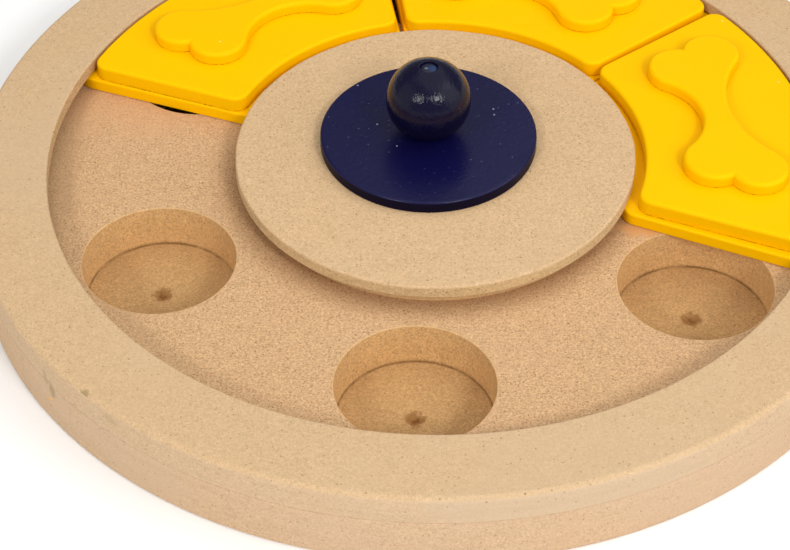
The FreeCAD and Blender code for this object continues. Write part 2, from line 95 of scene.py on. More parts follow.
def rounded(points, steps=5):
    """Closed polygon of (r, z, radius) corners to a closed list of (r, z)."""
    out = []
    n = len(points)
    for i in range(n):
        p = Vector(points[i][:2])
        a = Vector(points[i - 1][:2])
        b = Vector(points[(i + 1) % n][:2])
        rad = points[i][2] if len(points[i]) > 2 else 0.0
        if rad <= 0:
            out.append((p.x, p.y))
            continue
        u, v = (a - p).normalized(), (b - p).normalized()
        half = math.acos(max(-1.0, min(1.0, u.dot(v)))) / 2
        t = rad / math.tan(half)
        start, end = p + u * t, p + v * t
        centre = p + (u + v).normalized() * (rad / math.sin(half))
        a0 = math.atan2(start.y - centre.y, start.x - centre.x)
        a1 = math.atan2(end.y - centre.y, end.x - centre.x)
        da = (a1 - a0 + math.pi) % TAU - math.pi
        for k in range(steps + 1):
            ang = a0 + da * k / steps
            out.append((centre.x + rad * math.cos(ang), centre.y + rad * math.sin(ang)))
    return out


class Build:
    """Collects vertices and faces of one closed mesh."""

    def __init__(self):
        self.v, self.f, self.m = [], [], []

    def ring(self, pts):
        start = len(self.v)
        self.v.extend(pts)
        return list(range(start, start + len(pts)))

    def bridge(self, a, b, mat=0, flip=False):
        n = len(a)
        for i in range(n):
            j = (i + 1) % n
            face = (a[i], a[j], b[j], b[i])
            self.f.append(face[::-1] if flip else face)
            self.m.append(mat)

    def fan(self, ring, point, mat=0, flip=False):
        c = len(self.v)
        self.v.append(point)
        n = len(ring)
        for i in range(n):
            face = (ring[i], ring[(i + 1) % n], c)
            self.f.append(face[::-1] if flip else face)
            self.m.append(mat)

    def cap(self, ring, mat=0, flip=False):
        self.f.append(tuple(ring[::-1]) if flip else tuple(ring))
        self.m.append(mat)

    def tris(self, faces, mat=0, flip=False):
        for t in faces:
            self.f.append(tuple(t[::-1]) if flip else tuple(t))
            self.m.append(mat)


def circle(r, z, n, cx=0.0, cy=0.0, phase=0.0):
    return [(cx + r * math.cos(TAU * (i + phase) / n), cy + r * math.sin(TAU * (i + phase) / n), z)
            for i in range(n)]


def lathe(name, profile, segs, mats, pick=None, cx=0.0, cy=0.0, wobble=None):
    """Closed (r, z) loop, counter-clockwise in the r-z plane, turned about z."""
    b = Build()
    rings = []
    for r, z in profile:
        if r < 1e-6:
            idx = len(b.v)
            b.v.append((cx, cy, z))
            rings.append([idx])
        else:
            rings.append(b.ring(circle(r, z, segs, cx, cy)))
    n = len(profile)
    for k in range(n):
        a, c = rings[k], rings[(k + 1) % n]
        (r0, z0), (r1, z1) = profile[k], profile[(k + 1) % n]
        mat = pick(0.5 * (r0 + r1), 0.5 * (z0 + z1), r1 - r0, z1 - z0) if pick else 0
        if len(a) == 1 and len(c) == 1:
            continue
        if len(a) == 1:
            for i in range(segs):
                b.f.append((a[0], c[(i + 1) % segs], c[i]))
                b.m.append(mat)
        elif len(c) == 1:
            for i in range(segs):
                b.f.append((a[i], a[(i + 1) % segs], c[0]))
                b.m.append(mat)
        else:
            b.bridge(a, c, mat)
    if wobble:
        b.v = [wobble(*p) for p in b.v]
    return make_object(name, b.v, b.f, mats=mats, face_mats=b.m)


def sheet_with_holes(outer, holes, spacing, z, jitter_seed):
    """Triangulated flat sheet: outer and hole loops are lists of (x, y, z)."""
    pts = [Vector((p[0], p[1])) for p in outer]
    loops = [list(range(len(pts)))]
    for h in holes:
        s = len(pts)
        pts += [Vector((p[0], p[1])) for p in h["loop"]]
        loops.append(list(range(s, s + len(h["loop"]))))
    outer_r = max(p.length for p in pts[:len(outer)])
    rnd = random.Random(jitter_seed)
    k = int(outer_r / spacing) + 1
    for i in range(-k, k + 1):
        for j in range(-k, k + 1):
            p = Vector((i * spacing + rnd.uniform(-.25, .25) * spacing,
                        j * spacing + rnd.uniform(-.25, .25) * spacing))
            if p.length > outer_r - 0.55 * spacing:
                continue
            if any((p - Vector(h["c"])).length < h["r"] + 0.5 * spacing for h in holes):
                continue
            pts.append(p)
    edges = [(l[i], l[(i + 1) % len(l)]) for l in loops for i in range(len(l))]
    out = delaunay_2d_cdt(pts, edges, [], 0, 1e-7)
    verts, faces, orig = out[0], out[2], out[3]
    # a triangle with all three corners on one hole's round loop fills the hole
    owner = {}
    for new, olds in enumerate(orig):
        for o in olds:
            for k, loop in enumerate(loops[1:]):
                if loop[0] <= o <= loop[-1]:
                    owner[new] = k
    keep = [tuple(f) for f in faces
            if not (f[0] in owner and owner.get(f[0]) == owner.get(f[1]) == owner.get(f[2]))]
    # new index of each input vertex, so walls can join the sheet
    back = {}
    for new, olds in enumerate(orig):
        for o in olds:
            back[o] = new
    return [(v.x, v.y, z) for v in verts], keep, [[back[i] for i in l] for l in loops]


# --------------------------------------------------------- material helpers
class Nodes:
    def __init__(self, name):
        self.mat = bpy.data.materials.new(name)
        self.mat.use_nodes = True
        self.t = self.mat.node_tree
        self.t.nodes.clear()
        self.out = self.t.nodes.new("ShaderNodeOutputMaterial")
        self.bsdf = self.t.nodes.new("ShaderNodeBsdfPrincipled")
        self.t.links.new(self.bsdf.outputs[0], self.out.inputs[0])
        self.coord = self.t.nodes.new("ShaderNodeTexCoord")

    def link(self, a, b):
        self.t.links.new(a, b)

    def put(self, socket, value):
        if hasattr(value, "is_output"):
            self.link(value, socket)
        else:
            socket.default_value = value

    def mapping(self, scale=(1, 1, 1), rot=(0, 0, 0), loc=(0, 0, 0), src=None):
        n = self.t.nodes.new("ShaderNodeMapping")
        self.link(src or self.coord.outputs["Object"], n.inputs["Vector"])
        n.inputs["Scale"].default_value = scale
        n.inputs["Rotation"].default_value = rot
        n.inputs["Location"].default_value = loc
        return n.outputs[0]

    def noise(self, scale, detail=3.0, rough=0.55, src=None, distortion=0.0):
        n = self.t.nodes.new("ShaderNodeTexNoise")
        self.link(src or self.coord.outputs["Object"], n.inputs["Vector"])
        n.inputs["Scale"].default_value = scale
        n.inputs["Detail"].default_value = detail
        n.inputs["Roughness"].default_value = rough
        n.inputs["Distortion"].default_value = distortion
        return n.outputs[0]

    def voronoi(self, scale, src=None, flat=False, random_=1.0):
        n = self.t.nodes.new("ShaderNodeTexVoronoi")
        n.voronoi_dimensions = "2D" if flat else "3D"
        self.link(src or self.coord.outputs["Object"], n.inputs["Vector"])
        n.inputs["Scale"].default_value = scale
        n.inputs["Randomness"].default_value = random_
        return n.outputs["Distance"], n.outputs["Color"]

    def math(self, op, a, b=0.0, c=0.0, clamp=False):
        n = self.t.nodes.new("ShaderNodeMath")
        n.operation = op
        n.use_clamp = clamp
        self.put(n.inputs[0], a)
        self.put(n.inputs[1], b)
        self.put(n.inputs[2], c)
        return n.outputs[0]

    def ramp(self, value, lo, hi, out_lo=0.0, out_hi=1.0, smooth=True):
        n = self.t.nodes.new("ShaderNodeMapRange")
        n.interpolation_type = "SMOOTHSTEP" if smooth else "LINEAR"
        self.put(n.inputs["Value"], value)
        n.inputs["From Min"].default_value = lo
        n.inputs["From Max"].default_value = hi
        n.inputs["To Min"].default_value = out_lo
        n.inputs["To Max"].default_value = out_hi
        return n.outputs[0]

    def mix(self, fac, a, b, mode="MIX"):
        n = self.t.nodes.new("ShaderNodeMix")
        n.data_type = "RGBA"
        n.blend_type = mode
        n.clamp_factor = True
        self.put(n.inputs[0], fac)
        for socket, value in ((n.inputs[6], a), (n.inputs[7], b)):
            if not hasattr(value, "is_output") and len(value) == 3:
                value = (*value, 1.0)
            self.put(socket, value)
        return n.outputs[2]

    def split(self, vec):
        n = self.t.nodes.new("ShaderNodeSeparateXYZ")
        self.link(vec, n.inputs[0])
        return n.outputs

    def join(self, x, y, z):
        n = self.t.nodes.new("ShaderNodeCombineXYZ")
        for s, v in zip(n.inputs, (x, y, z)):
            self.put(s, v)
        return n.outputs[0]

    def bump(self, height, strength, distance, normal=None):
        n = self.t.nodes.new("ShaderNodeBump")
        n.inputs["Strength"].default_value = strength
        n.inputs["Distance"].default_value = distance
        self.link(height, n.inputs["Height"])
        if normal is not None:
            self.link(normal, n.inputs["Normal"])
        return n.outputs[0]

    def polar_coord(self, radius):
        """Object place as (length round the wall, height, radius)."""
        x, y, z = self.split(self.coord.outputs["Object"])[:3]
        around = self.math("MULTIPLY", self.math("ARCTAN2", y, x), radius)
        away = self.math("SQRT", self.math("ADD", self.math("MULTIPLY", x, x), self.math("MULTIPLY", y, y)))
        return self.join(around, z, away)


def spot(n, colour, centre, size, tint, strength, soft=0.35, ragged=0.5, grain=700):
    """Tinted patch round a point of the object, used for stains and for painted shade; centre and size (x, y, z) in
    mm.
    """
    x, y, z = n.split(n.coord.outputs["Object"])[:3]
    terms = []
    for value, c, s_ in zip((x, y, z), centre, size):
        d = n.math("DIVIDE", n.math("SUBTRACT", value, c * MM), s_ * MM)
        terms.append(n.math("MULTIPLY", d, d))
    dist = n.math("SQRT", n.math("ADD", n.math("ADD", terms[0], terms[1]), terms[2]))
    wander = n.math("MULTIPLY", n.math("SUBTRACT", n.noise(grain, 3.0, 0.6), 0.5), 2.0 * ragged)
    mask = n.ramp(n.math("ADD", dist, wander), 1.0 - soft, 1.0 + soft, 1.0, 0.0)
    return n.mix(n.math("MULTIPLY", mask, strength), colour, tint)


def fibreboard(name, base, contrast=1.0, speck=1.0, warm=None, edge=False, rough=0.86, bump=1.0,
               radius=0.138, grey=0.0, offset=(0.0, 0.0, 0.0), marks=(), bored=False, fine_scale=1.0, track=False):
    """Raw fibreboard: fine felted fibres, faint clouding and dark specks."""
    n = Nodes(name)
    src = n.mapping(loc=offset)
    fine = n.noise(2300 * fine_scale, 2.0, 0.6, src)
    mid = n.noise(1250 * fine_scale, 3.0, 0.68, src)
    coarse = n.noise(300, 3.0, 0.55, src)
    cloud = n.noise(38, 3.0, 0.55, src, 0.4)
    if edge:
        polar = n.polar_coord(radius)
        streak = n.noise(900, 3.0, 0.6, n.mapping(scale=(0.16, 1.0, 1.0), src=polar))
        layer = n.noise(420, 2.0, 0.5, n.mapping(scale=(0.05, 1.0, 0.4), src=polar))
    else:
        streak_a = n.noise(1400, 2.0, 0.5, n.mapping(scale=(0.45, 1.4, 1.0), rot=(0, 0, 0.5), src=src))
        streak_b = n.noise(1400, 2.0, 0.5, n.mapping(scale=(0.45, 1.4, 1.0), rot=(0, 0, 1.9), src=src))
        streak = n.math("MAXIMUM", streak_a, streak_b)
        layer = n.noise(120, 2.0, 0.5, src)

    def part(value, weight, middle=0.5):
        return n.math("MULTIPLY", n.math("SUBTRACT", value, middle), weight)

    total = n.math("ADD", part(fine, 1.1), part(mid, 1.2))
    total = n.math("ADD", total, part(coarse, 0.22))
    total = n.math("ADD", total, part(streak, 0.25, 0.5 if edge else 0.56))
    total = n.math("MULTIPLY", total, contrast)
    fac = n.math("ADD", total, 0.5, clamp=True)
    light = tuple(min(1.0, c * k) for c, k in zip(base, (1.48, 1.52, 1.58)))
    dark = tuple(c * k for c, k in zip(base, (0.52, 0.48, 0.42)))
    colour = n.mix(fac, dark, light)
    warm = warm or tuple(c * k for c, k in zip(base, (1.03, 0.965, 0.90)))
    colour = n.mix(n.ramp(cloud, 0.42, 0.68, 0.0, 0.22), colour, warm)
    if grey:
        colour = n.mix(n.ramp(n.noise(21, 2.0, 0.5, src), 0.42, 0.66, 0.0, grey), colour,
                       tuple(c * k for c, k in zip(base, (1.0, 1.06, 1.18))))
    colour = n.mix(n.math("MULTIPLY", n.math("SUBTRACT", layer, 0.5, clamp=True), 0.8 if edge else 0.35),
                   colour, tuple(c * 0.8 for c in base))
    # dark shives, each a dot in a random cell
    flat = not bored and not edge
    dots_src = n.mapping(scale=(1.0, 1.15, 1.0), loc=(0.013, 0.3, 0.1), src=polar if edge else src)
    for scale, size, share, depth in ((430, 0.12, 0.93, 0.80), (900, 0.26, 0.93, 0.6), (150, 0.05, 0.94, 0.9)):
        dist, cell = n.voronoi(scale, dots_src, flat or edge)
        share = 1.0 - (1.0 - share) * speck
        pick = n.ramp(n.split(cell)[0], share, share + 0.02)
        dot = n.math("MULTIPLY", n.ramp(dist, size * 0.5, size, 1.0, 0.0), pick)
        colour = n.mix(n.math("MULTIPLY", dot, depth), colour, (base[0] * 0.36, base[1] * 0.26, base[2] * 0.18))
    # pale fibre ends
    dist, cell = n.voronoi(760, dots_src, flat or edge)
    dot = n.math("MULTIPLY", n.ramp(dist, 0.06, 0.2, 1.0, 0.0), n.ramp(n.split(cell)[1], 0.84, 0.86))
    colour = n.mix(n.math("MULTIPLY", dot, min(1.0, 0.4 * contrast)), colour, tuple(min(1.0, c * 1.4) for c in base))
    extra_height = None
    if bored:
        att = n.t.nodes.new("ShaderNodeAttribute")
        att.attribute_name = "pocket_r"
        reach = att.outputs["Fac"]
        x, y, z = n.split(n.coord.outputs["Object"])[:3]
        # fine turning marks of the drill, round its axis
        turned = n.noise(1.0, 2.0, 0.5, n.join(n.math("MULTIPLY", reach, 1.6), 0.0, 0.0))
        on_floor = n.ramp(z, 2.2 * MM, 1.9 * MM, 0.0, 1.0)
        colour = n.mix(n.math("MULTIPLY", n.ramp(turned, 0.45, 0.72, 0.0, 0.30), on_floor), colour,
                       tuple(c * 0.80 for c in base))
        extra_height = n.math("MULTIPLY", turned, on_floor)
        # scorched spot left by the drill's spur
        edge_noise = n.math("MULTIPLY", n.math("SUBTRACT", n.noise(600, 3.0, 0.7), 0.5), 5.5)
        burnt = n.math("MULTIPLY", n.ramp(n.math("ADD", reach, edge_noise), 1.9, 3.7, 1.0, 0.0), on_floor)
        colour = n.mix(n.math("MULTIPLY", burnt, 0.80), colour, (base[0] * 0.50, base[1] * 0.38, base[2] * 0.26))
        core = n.math("MULTIPLY", n.ramp(n.math("ADD", reach, edge_noise), 0.1, 1.6, 1.0, 0.0), on_floor)
        colour = n.mix(n.math("MULTIPLY", core, 0.8), colour, (base[0] * 0.36, base[1] * 0.20, base[2] * 0.10))
        # painted shade: dark line in the crease where wall and floor meet
        low = n.math("MULTIPLY", n.ramp(z, 2.05 * MM, 2.55 * MM, 1.0, 0.0), n.ramp(reach, 21.75, 22.1))
        # painted light: pocket walls above the floor lightened against the floor
        colour = n.mix(n.ramp(z, 2.2 * MM, 3.2 * MM), colour, (1.26, 1.30, 1.34), "MULTIPLY")
        # painted shade: the crease line darkened
        colour = n.mix(n.math("MULTIPLY", low, n.ramp(n.noise(150), 0.3, 0.6, 0.25, 0.8)), colour,
                       (base[0] * 0.34, base[1] * 0.26, base[2] * 0.17))
        # pale, slightly chipped arris
        chips = n.ramp(n.noise(420, 3.0, 0.6), 0.42, 0.6, 0.15, 0.7)
        lip = n.math("MULTIPLY", n.ramp(z, 15.45 * MM, 15.85 * MM), chips)
        colour = n.mix(lip, colour, tuple(min(1.0, c * k) for c, k in zip(base, (1.22, 1.32, 1.55))))
    if track:
        # darker bands beside the hub and the rim, to match the shade seen there
        away = n.split(n.polar_coord(1.0))[2]
        colour = n.mix(n.ramp(away, 57 * MM, 68 * MM, 0.85, 0.0), colour, (0.66, 0.60, 0.52), "MULTIPLY")
        colour = n.mix(n.ramp(away, 112 * MM, 117 * MM, 0.0, 0.6), colour, (0.74, 0.70, 0.62), "MULTIPLY")
    for mark in marks:
        colour = spot(n, colour, **mark)
    n.link(colour, n.bsdf.inputs["Base Color"])
    n.put(n.bsdf.inputs["Roughness"], n.ramp(mid, 0.3, 0.7, rough - 0.06, rough + 0.06))
    n.bsdf.inputs["Specular IOR Level"].default_value = 0.10
    nrm = n.bump(n.math("ADD", n.math("MULTIPLY", fine, 0.5), streak), 0.30 * bump, 0.00006)
    nrm = n.bump(coarse, 0.15 * bump, 0.00012, nrm)
    if extra_height is not None:
        nrm = n.bump(extra_height, 0.35, 0.00008, nrm)
    n.link(nrm, n.bsdf.inputs["Normal"])
    return n


MDF = (0.578, 0.398, 0.228)
TRACK_MARKS_AND_SHADE = (
    dict(centre=(-92.0, 33.0, 16.0), size=(34.0, 13.0, 5.0), tint=(0.60, 0.33, 0.17), strength=0.45, soft=0.6, ragged=1.2, grain=160),
    dict(centre=(61.5, -26.5, 16.0), size=(7.5, 3.6, 5.0), tint=(0.62, 0.31, 0.11), strength=0.75, soft=0.5, ragged=1.2, grain=260),
    # painted shade: darker strip on the floor along the left rim wall
    dict(centre=(-112.5, 0.0, 16.0), size=(5.0, 34.0, 5.0), tint=(0.42, 0.27, 0.14), strength=0.35, soft=0.6, ragged=1.0, grain=120),
)
FACE_MARKS = (
    dict(centre=(-95.3, -99.9, 24.6), size=(1.5, 1.2, 1.6), tint=(0.28, 0.20, 0.09), strength=0.8, soft=0.4, ragged=1.0),
)
WALL_MARKS = (
    dict(centre=(-105.9, -88.5, 14.2), size=(1.2, 1.2, 2.6), tint=(0.36, 0.27, 0.14), strength=0.75, soft=0.5, ragged=1.1),
    dict(centre=(-107.6, -86.4, 17.0), size=(0.9, 0.9, 3.4), tint=(0.40, 0.31, 0.18), strength=0.6, soft=0.5, ragged=1.1),
    dict(centre=(-106.9, -87.3, 9.6), size=(0.55, 0.55, 0.5), tint=(0.93, 0.45, 0.0), strength=1.0, soft=0.2, ragged=0.3),
    dict(centre=(-87.7, -106.5, 21.8), size=(2.2, 2.2, 1.3), tint=(0.42, 0.31, 0.17), strength=0.5, soft=0.6, ragged=1.2),
)
mdf_face = fibreboard("raw_board_face", MDF, 0.55, 0.7, grey=0.35, marks=FACE_MARKS).mat
mdf_disc = fibreboard("raw_board_disc", (0.600, 0.410, 0.232), 0.62, 1.0, grey=0.15, offset=(0.31, 0.17, 0.0)).mat
mdf_track = fibreboard("raw_board_track", (0.570, 0.360, 0.192), 1.05, 2.6, rough=0.9, bump=1.6,
                       warm=(0.60, 0.355, 0.195), offset=(0.11, 0.53, 0.0), marks=TRACK_MARKS_AND_SHADE, track=True).mat
mdf_bore = fibreboard("raw_board_bored", (0.505, 0.305, 0.132), 0.9, 2.5, rough=0.88,
                      warm=(0.52, 0.29, 0.12), offset=(0.71, 0.23, 0.0), bored=True).mat
mdf_wall = fibreboard("raw_board_wall", (0.560, 0.395, 0.245), 0.5, 0.5, edge=True, grey=0.6, marks=WALL_MARKS).mat
mdf_wall_low = fibreboard("raw_board_wall_low", (0.565, 0.388, 0.240), 0.55, 0.6, edge=True, grey=0.4,
                          offset=(0.2, 0.1, 0.4), marks=WALL_MARKS[:3]).mat
mdf_rim = fibreboard("raw_board_rim_inner", (0.520, 0.355, 0.190), 0.9, 0.4, edge=True, radius=0.1155).mat
mdf_disc_edge = fibreboard("raw_board_disc_edge", (0.590, 0.420, 0.225), 0.8, 1.0, edge=True, radius=0.06).mat
mdf_plain = fibreboard("raw_board_underside", (0.575, 0.385, 0.215), 0.8, 1.4, grey=0.2, offset=(0.4, 0.8, 0.1)).mat


def paint(name, base, second, rough, spec, specks, bump_scale, bump_strength, speck_colour=(0.9, 0.85, 0.6),
          brush=False, shaded_seams=(), marks=(), wave=0.25, fine_tint=0.88, flat=True):
    n = Nodes(name)
    src = n.coord.outputs["Object"]
    cloud = n.noise(60, 3.0, 0.5, src)
    fine = n.noise(900, 2.0, 0.5, src)
    colour = n.mix(n.ramp(cloud, 0.35, 0.7, 0.0, 0.5), base, second)
    colour = n.mix(n.ramp(fine, 0.62, 0.80, 0.0, 0.25), colour, tuple(c * fine_tint for c in base))
    geo = n.t.nodes.new("ShaderNodeNewGeometry")
    level = n.ramp(n.split(geo.outputs["Normal"])[2], 0.90, 0.97) if flat else 1.0
    for scale, size, share, amount, tint in specks:
        dist, cell = n.voronoi(scale, n.mapping(loc=(scale * 0.00017, 0.21, 0.4)), flat)
        dot = n.math("MULTIPLY", n.ramp(dist, size * 0.4, size, 1.0, 0.0), n.ramp(n.split(cell)[0], share, share + 0.01))
        colour = n.mix(n.math("MULTIPLY", n.math("MULTIPLY", dot, amount), level), colour, tint or speck_colour)
    # painted shade in the open glue line at the foot of each glued layer, bridged by paint in places
    z = n.split(src)[2]
    for low, high in shaded_seams:
        band = n.math("MULTIPLY", n.ramp(z, (low + 0.02) * MM, (low + 0.05) * MM), n.ramp(z, (high - 0.08) * MM, high * MM, 1.0, 0.0))
        dots = n.math("MULTIPLY", n.ramp(n.noise(1300, 2.0, 0.6), 0.42, 0.56), n.ramp(n.noise(75, 2.0, 0.5), 0.30, 0.46, 0.25, 1.0))
        colour = n.mix(n.math("MULTIPLY", n.math("MULTIPLY", band, dots), 0.92), colour, (0.16, 0.055, 0.0))
    for mark in marks:
        colour = spot(n, colour, **mark)
    n.link(colour, n.bsdf.inputs["Base Color"])
    n.put(n.bsdf.inputs["Roughness"], n.ramp(cloud, 0.3, 0.7, rough - 0.05, rough + 0.05))
    n.bsdf.inputs["Specular IOR Level"].default_value = spec
    peel = n.noise(bump_scale, 3.0, 0.5, src)
    if brush:
        stroke = n.noise(420, 3.0, 0.6, n.mapping(scale=(3.2, 1.0, 0.55), rot=(0.5, 0.25, 0.35)))
        nrm = n.bump(stroke, 0.62, 0.00018)
        nrm = n.bump(peel, bump_strength, 0.0001, nrm)
    else:
        nrm = n.bump(peel, bump_strength, 0.0001)
        nrm = n.bump(n.noise(90, 3.0, 0.5, src), wave, 0.0004, nrm)
    n.link(nrm, n.bsdf.inputs["Normal"])
    return n.mat


yellow = paint("yellow_paint", (0.95, 0.520, 0.0), (0.94, 0.505, 0.0), 0.40, 0.035,
               ((75, 0.030, 0.93, 0.55, (1.0, 0.85, 0.45)), (110, 0.035, 0.93, 0.6, (0.45, 0.24, 0.0)),
                (300, 0.07, 0.96, 0.35, (0.60, 0.30, 0.0))), 700, 0.30,
               shaded_seams=((20.15, 20.48), (25.2, 25.48)))
navy_lid = paint("navy_paint_lid", (0.0040, 0.0037, 0.043), (0.0034, 0.0030, 0.035), 0.28, 0.22,
                 ((330, 0.10, 0.93, 0.55, (0.14, 0.14, 0.26)), (700, 0.20, 0.95, 0.35, (0.08, 0.08, 0.18)),
                  (70, 0.035, 0.96, 0.9, (0.02, 0.10, 0.40)), (170, 0.06, 0.95, 0.9, (0.42, 0.42, 0.52))), 900, 0.6,
                 wave=0.12)
# painted shade: darker copy of the lid paint for the lid's side, with lower gloss
navy_side_shaded = paint("navy_paint_side_shaded", (0.0028, 0.0018, 0.014), (0.0022, 0.0015, 0.010), 0.42, 0.07,
                  (), 900, 0.6, wave=0.3)
navy_ball = paint("navy_paint_ball", (0.0032, 0.0027, 0.019), (0.0026, 0.0022, 0.013), 0.17, 0.19,
                  ((420, 0.14, 0.85, 0.4, (0.10, 0.10, 0.2)),), 1300, 0.8, brush=True, flat=False)
navy_pin = paint("navy_paint_pin", (0.0050, 0.0050, 0.022), (0.006, 0.010, 0.04), 0.35, 0.4,
                 (), 1500, 0.6,
                 marks=(dict(centre=(-0.6, 3.2, 52.5), size=(1.5, 1.2, 1.5), tint=(0.004, 0.028, 0.11), strength=0.95, soft=0.4, ragged=0.8, grain=900),
                        dict(centre=(-2.6, 3.3, 52.5), size=(0.5, 0.45, 1.5), tint=(0.16, 0.17, 0.20), strength=0.8, soft=0.3, ragged=0.5, grain=900)))


def zinc():
    n = Nodes("zinc_plated_screw")
    src = n.coord.outputs["Object"]
    swirl = n.noise(1800, 3.0, 0.6, n.mapping(scale=(1, 6, 1)))
    n.link(n.mix(n.ramp(swirl, 0.35, 0.7), (0.50, 0.50, 0.47), (0.66, 0.65, 0.60)), n.bsdf.inputs["Base Color"])
    n.bsdf.inputs["Metallic"].default_value = 1.0
    n.put(n.bsdf.inputs["Roughness"], n.ramp(n.noise(700, 3.0, 0.6, src), 0.3, 0.7, 0.28, 0.46))
    n.link(n.bump(swirl, 0.3, 0.00004), n.bsdf.inputs["Normal"])
    return n.mat


zinc_mat = zinc()


# ------------------------------------------------------------------- camera
def make_camera():
    focal, el, roll = 2101.457688844761, 0.7579072443584715, -0.00803549297167012
    eye = Vector((-0.01224412707, -0.48310834417, 0.43001513165))
    fwd = Vector((0.0, math.cos(el), -math.sin(el)))
    right = Vector((1.0, 0.0, 0.0))
    up = right.cross(fwd)
    r2 = math.cos(roll) * right + math.sin(roll) * up
    u2 = -math.sin(roll) * right + math.cos(roll) * up
    data = bpy.data.cameras.new("photo_camera")
    data.sensor_fit = "HORIZONTAL"
    data.sensor_width = 36.0
    data.lens = focal / 790.0 * 36.0
    data.clip_start = 0.01
    data.clip_end = 20.0
    cam = bpy.data.objects.new("photo_camera", data)
    m = Matrix.Identity(4)
    for i, axis in enumerate((r2, u2, -fwd)):
        m[0][i], m[1][i], m[2][i] = axis
    m[0][3], m[1][3], m[2][3] = eye
    cam.matrix_world = m
    scene.collection.objects.link(cam)
    scene.camera = cam


make_camera()

# ---------------------------------------------------------------- base board
def build_base():
    b = Build()
    reach = {}
    n_out, n_pocket, n_screw = 360, 144, 40
    rim = 0.30          # softened arris of each pocket
    holes_top = []
    centres = [(0.0, 0.0)] + [(POCKET_PITCH * math.cos(math.radians(a)), POCKET_PITCH * math.sin(math.radians(a)))
                              for a in POCKET_ANGLES]
    for cx, cy in centres:
        r = POCKET_R + rim
        holes_top.append(dict(c=(cx, cy), r=r, loop=circle(r, BASE_T, n_pocket, cx, cy)))
    outer = circle(BOARD_R - 0.35, BASE_T, n_out)
    verts, tris, loops = sheet_with_holes(outer, holes_top, 7.0, BASE_T, 11)
    off = len(b.v)
    b.v.extend(verts)
    b.tris([tuple(i + off for i in t) for t in tris], 0)
    top_loop = [i + off for i in loops[0]]
    for (cx, cy), loop in zip(centres, loops[1:]):
        prev = [i + off for i in loop]
        prof = []
        for k in range(1, 5):
            a = math.pi / 2 * k / 4
            prof.append((POCKET_R + rim * (1 - math.sin(a)), BASE_T - rim * (1 - math.cos(a))))
        prof += [(POCKET_R, 12.0), (POCKET_R, 7.0), (POCKET_R, POCKET_FLOOR + 0.5),
                 (POCKET_R - 0.15, POCKET_FLOOR + 0.15), (POCKET_R - 0.5, POCKET_FLOOR)]
        prof += [(15.0, POCKET_FLOOR), (8.0, POCKET_FLOOR), (2.9, POCKET_FLOOR), (2.5, POCKET_FLOOR - 0.08),
                 (1.2, POCKET_FLOOR - 0.62)]
        for r, z in prof:
            ring = b.ring(circle(r, z, n_pocket, cx, cy))
            reach.update((i, r) for i in ring)
            b.bridge(prev, ring, 1)
            prev = ring
        reach[len(b.v)] = 0.0
        b.fan(prev, (cx, cy, POCKET_FLOOR - 0.95), 1)
    # outer wall, top arris, seam side, wall, bottom round
    prev = top_loop
    wall = []
    for k in range(1, 4):
        a = math.pi / 2 * k / 3
        wall.append((BOARD_R - 0.35 + 0.35 * math.sin(a), BASE_T - 0.35 + 0.35 * math.cos(a)))
    wall += [(BOARD_R, 12.0), (BOARD_R, 8.0), (BOARD_R, 4.0), (BOARD_R, 1.0)]
    for k in range(1, 6):
        a = math.pi / 2 * k / 5
        wall.append((BOARD_R - 1.0 + math.cos(a), 1.0 - math.sin(a)))
    for r, z in wall:
        ring = b.ring(circle(r, z, n_out))
        b.bridge(ring, prev, 2)
        prev = ring
    # underside with the three countersinks
    bottom_outer = [b.v[i] for i in prev]
    holes = []
    for a in SCREW_ANGLES:
        c = (SCREW_PITCH * math.cos(math.radians(a)), SCREW_PITCH * math.sin(math.radians(a)))
        holes.append(dict(c=c, r=4.0, loop=circle(4.0, 0.0, n_screw, *c)))
    verts, tris, loops = sheet_with_holes(bottom_outer, holes, 9.0, 0.0, 5)
    # reuse the wall's last ring for the sheet's outer loop
    remap = {new: prev[i] for i, new in enumerate(loops[0])}
    off = len(b.v)
    table = []
    for i, v in enumerate(verts):
        if i in remap:
            table.append(remap[i])
        else:
            table.append(len(b.v))
            b.v.append(v)
    b.tris([tuple(table[i] for i in t) for t in tris], 3, flip=True)
    for h, loop in zip(holes, loops[1:]):
        prev = [table[i] for i in loop]
        for r, z in ((3.82, 0.12), (3.82, 0.4), (1.78, 2.8)):
            ring = b.ring(circle(r, z, n_screw, *h["c"]))
            b.bridge(ring, prev, 1)
            prev = ring
        b.fan(prev, (h["c"][0], h["c"][1], 2.8), 1, flip=True)
    obj = make_object("board_base", b.v, b.f, mats=[mdf_track, mdf_bore, mdf_wall_low, mdf_plain], face_mats=b.m)
    att = obj.data.attributes.new("pocket_r", "FLOAT", "POINT")
    att.data.foreach_set("value", [reach.get(i, POCKET_R) for i in range(len(b.v))])
    return obj


base = build_base()
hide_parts("base_board")
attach(base, "board")


# ------------------------------------------------------------------ rim ring
def pick_rim(r, z, dr, dz):
    if r > 136.5 and z < 24.4:
        return 1
    if r < 116.0 and z < 24.7:
        return 2
    if z < 21.5:
        return 2
    return 0


rim_profile = rounded([
    (RIM_IN, LIP_Z, 0.25), (RABBET_R, LIP_Z, 0.0), (RABBET_R, BASE_T, 0.0),
    (BOARD_R, BASE_T, 0.35), (BOARD_R, RIM_TOP, 1.8), (RIM_IN, RIM_TOP, 0.6)], 6)
rim = lathe("board_rim", rim_profile, 400, [mdf_face, mdf_wall, mdf_rim], pick_rim)
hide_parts("rim_ring")
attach(rim, "board")

# ------------------------------------------------------- hub and centre disc
hub = lathe("board_hub", rounded([(POCKET_R, BASE_T, 0), (HUB_R, BASE_T, 0), (HUB_R, HUB_TOP, 0), (POCKET_R, HUB_TOP, 0)], 1),
            240, [mdf_bore])
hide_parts("hub_spacer")
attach(hub, "board")


